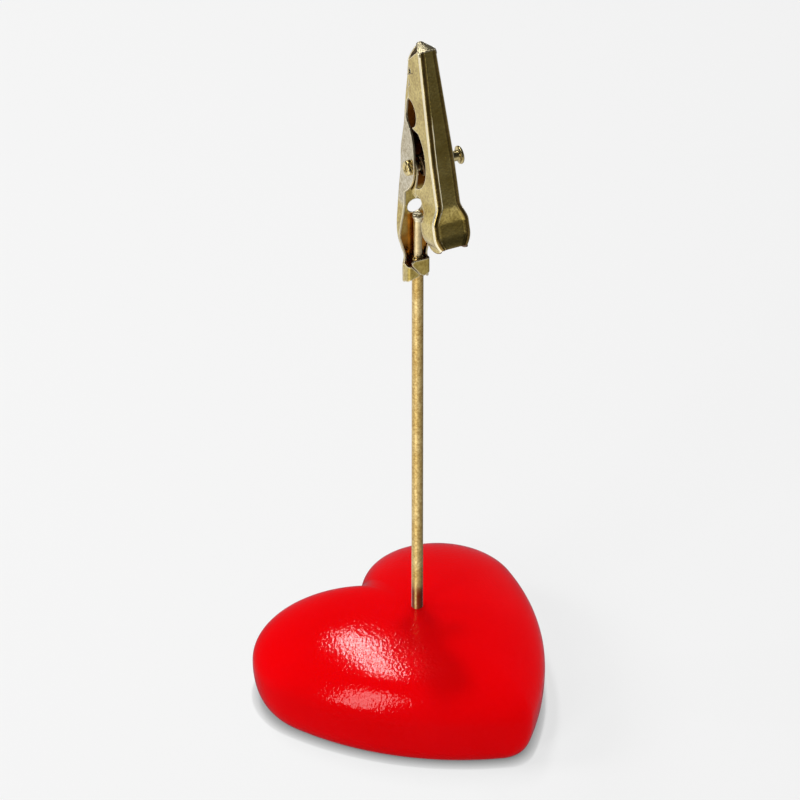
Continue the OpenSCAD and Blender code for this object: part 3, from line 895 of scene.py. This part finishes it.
def lower_marks(points, gap, outer):
    """Painted light of the lower jaw: the painted amber shade of its inner faces is left out round the
    window, at the nose, a little in the tail and in a lit streak down one side of it, and its ears turn grey
    as a painted grey reflection, all by smooth steps."""
    k = points[:, 2] - PIVOT_Z
    a = (points - CLIP_FOOT) @ ACROSS
    b = (points - CLIP_FOOT) @ LEVERWARD
    # Places where the inner faces' painted shade is left out, as lit.
    round_hole = WINDOW_UNSHADED * ease((k + 10.2) / 1.0) * ease((-5.2 - k) / 1.0)
    nose = ease((k - 15.6) / 0.3)
    tail = TAIL_UNSHADED * ease((-9.5 - k) / 1.0)
    streak = TAIL_LIT_STREAK * ease((-0.95 - a) / 0.4) * ease((-9.6 - k) / 0.6) * ease((k + 13.8) / 1.5)
    # Painted grey reflection on the ears.
    reflected_grey = EAR_GREY_REFLECTION * ease((k + 7.6) / 1.6) * ease((10.0 - k) / 4.0) * ease((b + 1.15) / 0.6)
    unshaded = np.maximum.reduce([outer, round_hole, nose, tail, streak])
    return {"rim": np.minimum(gap, NOT_PALE), "outer": unshaded, "reflected_grey": outer * reflected_grey,
            "tail": ease((-8.5 - k) / 1.0)}


near_tab = crimp_tab(-1, 1.86, [(1.86, -17.25), (1.4, -17.3), (0.25, -18.72)],
                     [(1.86, -19.5), (0.5, -19.1), (0.25, -18.9)])
far_tab = crimp_tab(1, 1.4, [(1.4, -16.5), (-0.9, -16.45), (-1.22, -16.75)],
                    [(1.4, -18.7), (0.5, -19.1), (0.0, -18.85), (-1.15, -17.2), (-1.22, -16.95)])
points, quads, gap, outer = joined(lower_channel(), near_tab, far_tab, lower_lip())
put("lower_jaw_sheet", points, quads, EAR_GOLD, metal_set, "holder", "lower_jaw", "jaw_brass",
    lower_marks(points, gap, outer))

# Pivot rivet
PIVOT = in_clip(0.0, PIVOT_B, 0.0)
RIVET_R = 0.72
RIVET_BORE = 0.45
NEAR_FACE = -2.19
RIVET_LOBES = 0.06


def hollow_rivet():
    """A tube turned about the pivot, its closed profile running from the bore round each rolled flange. The
    near flange is lobed where it was split and rolled over."""
    near = arc((0.74, -2.53), 0.34, -150, 0, 12)
    far = arc((0.97, 5.16), 0.3, 0, 150, 12)
    tube = np.stack([np.full(12, RIVET_R), np.linspace(-2.15, 4.85, 12)], axis=1)
    bore = np.stack([np.full(8, RIVET_BORE), np.linspace(4.5, -2.0, 8)], axis=1)
    rows = np.concatenate([
        near, [[1.08, -2.26], [1.02, NEAR_FACE], [RIVET_R, NEAR_FACE]], tube,
        [[0.74, 4.93], [1.1, 4.95], [1.24, 5.02]], far, [[0.62, 5.0], [0.5, 4.7]], bore,
        [[RIVET_BORE, -2.3]]])
    lobed = ease((NEAR_FACE - rows[:, 1]) / 0.3) * ease((rows[:, 0] - 0.4) / 0.4)
    profile = np.concatenate([rows, lobed[:, None]], axis=1)
    return turned(np.concatenate([profile, profile[:1]]), PIVOT, ACROSS, UP, 64, RIVET_LOBES)


put("hollow_rivet", *hollow_rivet(), RIVET_GOLD, metal_set, "holder", "pivot_rivet", "rivet_brass")

# Torsion spring
SPRING_R = 0.2
SPRING_SIDES = 12
COIL_R = 1.35
COIL_FROM = 165.5
COIL_TO = 64.2 - 720
COIL_HALF = 0.86 * (COIL_FROM - COIL_TO) / 720
WEB_LEG = 5.8
LEVER_LEG = 7.8


def spring_wire():
    """A round wire along one path: a leg on the web, the coil about the pivot, and a leg on the lever.
    The coil's angle and its place across change evenly, and each leg leaves along the coil's tangent."""
    turn = np.radians(np.linspace(COIL_FROM, COIL_TO, 96))
    place = np.linspace(-COIL_HALF, COIL_HALF, 96)
    coil = np.stack([place, PIVOT_B + COIL_R * np.cos(turn), COIL_R * np.sin(turn)], axis=1)
    tangent = np.stack([0 * turn, np.sin(turn), -np.cos(turn)], axis=1)
    web_leg = coil[0] - tangent[0] * WEB_LEG * np.linspace(1, 0.02, 24)[:, None]
    lever_leg = coil[-1] + tangent[-1] * LEVER_LEG * np.linspace(0.02, 1, 30)[:, None]
    path = np.concatenate([web_leg, coil, lever_leg])
    run = unit(np.gradient(path, axis=0))
    first = unit(EAST - run[:, :1] * run)
    second = np.cross(run, first)
    angle = np.linspace(0, 2 * np.pi, SPRING_SIDES, endpoint=False)[:, None]
    radius = np.full(len(path), SPRING_R)
    radius[[0, -1]] = 1e-6
    path[0] = path[1]
    path[-1] = path[-2]
    round_wire = np.cos(angle) * first[:, None] + np.sin(angle) * second[:, None]
    ring = path[:, None] + radius[:, None, None] * round_wire
    rings = np.arange(len(path) * SPRING_SIDES).reshape(-1, SPRING_SIDES)
    points = in_clip(ring[..., 0], ring[..., 1], ring[..., 2]).reshape(-1, 3)
    return points, tube_quads(rings)[:, FACING_BACK]


spring = put("spring_wire", *spring_wire(), SPRING_STEEL, metal_set, None, "torsion_spring", "spring_steel")
tuple(in_clip(-COIL_HALF, PIVOT_B, 0) * MM)
tuple(in_clip(COIL_HALF, PIVOT_B, 0) * MM)
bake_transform(spring)

# Stage: floor, light and camera. Turns are degrees from the front, and grow to the right.
FLOOR_HALF = 3.0
FLOOR_GREY = 0.35
FLOOR_GLOW = 0.53
CONTACT_LINE = 0.0016
FLOOR_GLOSS = [(-180, 0.85), (-150, 0.85), (-116, 0.9), (-90, 1.2), (-71, 1.55), (-55, 1.05), (-31, 0.8),
               (11, 0.48), (62, 0.26), (110, 0.2), (140, 0.25), (160, 0.6), (180, 0.85)]
WALL_GLOSS = [(-180, 0.85), (-150, 0.7), (-110, 0.5), (-80, 0.4), (-68, 0.06), (-25, 0.06), (0, 0.115),
              (60, 0.09), (110, 0.06), (140, 0.2), (160, 0.6), (180, 0.85)]
DOME_GLOSS = 0.025
ROOM_R = 2.2
ROOM_LIFT = 0.0004
HORIZON_FROM = 0.6
HORIZON_RUN = 0.9
WALL_RISE = math.radians(18)
LAMP_AIM = Vector((0, 0, 0.03))
FILL = 0.27
PALE = 0.91


def heading(azimuth, elevation):
    """The direction at a turn from the front and a height angle, both in degrees."""
    a = math.radians(azimuth)
    e = math.radians(elevation)
    return Vector((math.sin(a) * math.cos(e), -math.cos(a) * math.cos(e), math.sin(e)))


def pale_floor():
    """A wide plain floor that glows an even pale grey, takes a share of the object's soft shadow, and
    darkens in a thin line close under its foot."""
    mesh = bpy.data.meshes.new("floor")
    corners = [(FLOOR_HALF * x, FLOOR_HALF * y, 0) for x, y in ((-1, -1), (1, -1), (1, 1), (-1, 1))]
    mesh.from_pydata(corners, [], [(0, 1, 2, 3)])
    floor = bpy.data.objects.new("floor", mesh)
    bpy.context.collection.objects.link(floor)
    material = bpy.data.materials.new("pale floor")
    tree = node_tree(material)
    paper = add(tree, "ShaderNodeBsdfDiffuse", Color=(FLOOR_GREY, FLOOR_GREY, FLOOR_GREY, 1))
    close = add(tree, "ShaderNodeAmbientOcclusion", samples=8, Distance=CONTACT_LINE)
    glow = tree.nodes.new("ShaderNodeEmission")
    both = tree.nodes.new("ShaderNodeAddShader")
    tree.links.new(spread(tree, close.outputs["AO"], 0.0, FLOOR_GLOW), glow.inputs["Strength"])
    tree.links.new(paper.outputs["BSDF"], both.inputs[0])
    tree.links.new(glow.outputs["Emission"], both.inputs[1])
    dress(tree, both.outputs["Shader"])
    mesh.materials.append(material)


def studio_surround():
    """What the metal's gloss sees of the room: a floor and a half dome by turn and distance, paler to the
    left and behind, dark to the front and right. Its own pale or dark is a value at each point. The floor's
    goes over to the wall's by a smooth step of the distance out, and the wall's to the dome's by one of the
    height."""
    turn = np.radians(np.arange(-180, 181, 5))
    reach = np.array([0.0, 0.04, 0.1, 0.3, 0.6, 0.8, 1.05, 1.3, 1.5, ROOM_R])
    rise = np.radians(np.array([1, 4, 8, 14, 22, 35, 50, 65, 80, 90]))
    flat = np.concatenate([reach, ROOM_R * np.cos(rise)])[:, None]
    height = np.concatenate([np.full(len(reach), ROOM_LIFT), ROOM_R * np.sin(rise)])[:, None]
    points = np.stack([flat * np.sin(turn), -flat * np.cos(turn), height + 0 * turn], axis=-1)
    round_floor = np.interp(np.degrees(turn), *zip(*FLOOR_GLOSS))
    round_wall = np.interp(np.degrees(turn), *zip(*WALL_GLOSS))
    horizon = ease((reach - HORIZON_FROM) / HORIZON_RUN)[:, None]
    floor_shade = round_floor * (1 - horizon) + round_wall * horizon
    wall_shade = DOME_GLOSS + (round_wall - DOME_GLOSS) * (1 - ease(rise / WALL_RISE))[:, None]
    shade = np.concatenate([floor_shade, wall_shade]).ravel().astype(np.float32)
    mesh = bpy.data.meshes.new("studio surround")
    mesh.from_pydata(points.reshape(-1, 3).tolist(), [], grid_quads(*points.shape[:2]).tolist())
    mesh.attributes.new("shade", "FLOAT", "POINT").data.foreach_set("value", shade)
    room = bpy.data.objects.new("studio_surround", mesh)
    bpy.context.collection.objects.link(room)
    material = bpy.data.materials.new("studio surround")
    tree = node_tree(material)
    glow = tree.nodes.new("ShaderNodeEmission")
    tree.links.new(marked(tree, "shade"), glow.inputs["Strength"])
    dress(tree, glow.outputs["Emission"])
    mesh.materials.append(material)
    room.visible_camera = False
    room.visible_diffuse = False
    room.visible_shadow = False
    room.visible_transmission = False
    room.light_linking.receiver_collection = metal_set


def soft_light(name, azimuth, elevation, distance, size, power, roll=0.0, shows=True, only=None):
    """A rectangular soft box at a turn from the front and a height angle, facing a point above the heart. It
    may leave out highlights, and it may light only a set of pieces."""
    way = heading(azimuth, elevation)
    data = bpy.data.lights.new(name, "AREA")
    data.shape = "RECTANGLE"
    data.size, data.size_y = size
    data.energy = power
    lamp = bpy.data.objects.new(name, data)
    bpy.context.collection.objects.link(lamp)
    aim = way.to_track_quat("Z", "Y").to_matrix() @ Matrix.Rotation(math.radians(roll), 3, "Z")
    lamp.matrix_world = Matrix.Translation(LAMP_AIM + way * distance) @ aim.to_4x4()
    lamp.visible_glossy = shows
    lamp.light_linking.receiver_collection = only


def pale_world():
    """An even pale surround: nearly white to the camera, to reflections and through glass, and a softer fill
    on surfaces."""
    world = bpy.data.worlds.new("pale world")
    bpy.context.scene.world = world
    tree = node_tree(world)
    path = tree.nodes.new("ShaderNodeLightPath")
    seen = add(tree, "ShaderNodeMath", operation="MAXIMUM")
    any_of = add(tree, "ShaderNodeMath", operation="MAXIMUM")
    tree.links.new(path.outputs["Is Camera Ray"], seen.inputs[0])
    tree.links.new(path.outputs["Is Glossy Ray"], seen.inputs[1])
    tree.links.new(seen.outputs["Value"], any_of.inputs[0])
    tree.links.new(path.outputs["Is Transmission Ray"], any_of.inputs[1])
    air = add(tree, "ShaderNodeBackground", Color=(1, 1, 1, 1))
    tree.links.new(spread(tree, any_of.outputs["Value"], FILL, PALE), air.inputs["Strength"])
    out = tree.nodes.new("ShaderNodeOutputWorld")
    tree.links.new(air.outputs["Background"], out.inputs["Surface"])


IMAGE = 800.0
SENSOR = 36.0
LENS_PIXELS = 9347.0
CAMERA_TURN = -41.1
CAMERA_RISE = 37.3
CAMERA_AWAY = 1.3
FOOT_RIGHT = 17.5
FOOT_BELOW = 205.5


def photo_camera():
    """A long lens on the photograph's side, aimed so that the place where the stem enters the heart falls
    right of and below the middle of the picture by a number of pixels."""
    foot = Vector((0, STEM_Y * MM, HEART_H * MM))
    back = heading(CAMERA_TURN, CAMERA_RISE)
    right = Vector(UP).cross(back).normalized()
    up = back.cross(right)
    ahead = (-back - right * (FOOT_RIGHT / LENS_PIXELS) + up * (FOOT_BELOW / LENS_PIXELS)).normalized()
    data = bpy.data.cameras.new("camera")
    data.sensor_width = SENSOR
    data.lens = LENS_PIXELS * SENSOR / IMAGE
    data.clip_start = 0.05
    data.clip_end = 20.0
    camera = bpy.data.objects.new("camera", data)
    bpy.context.collection.objects.link(camera)
    across = ahead.cross(Vector(UP)).normalized()
    turn = Matrix((across, across.cross(ahead), -ahead)).transposed().to_4x4()
    camera.matrix_world = Matrix.Translation(foot + back * CAMERA_AWAY) @ turn
    bpy.context.scene.camera = camera


pale_floor()
studio_surround()
pale_world()
soft_light("overhead strip", 179, 67, 0.75, (0.08, 0.52), 1.85, roll=-39)
soft_light("left box", -79, 30, 0.9, (0.22, 0.7), 1.9)
soft_light("left key", -131, 32, 1.0, (0.3, 0.3), 1.9, shows=False)
soft_light("top lamp", 140, 86.6, 0.9, (0.03, 0.03), 2.8, shows=False)
soft_light("right card", 100, 14, 1.0, (0.9, 0.4), 2.7, shows=False, only=resin_set)
soft_light("low front card", 30, 4, 0.8, (0.8, 0.1), 1.6, shows=False, only=resin_set)
soft_light("low left card", -110, 5, 0.8, (0.6, 0.1), 0.9, shows=False, only=resin_set)
photo_camera()
bpy.context.scene.view_settings.view_transform = "Standard"
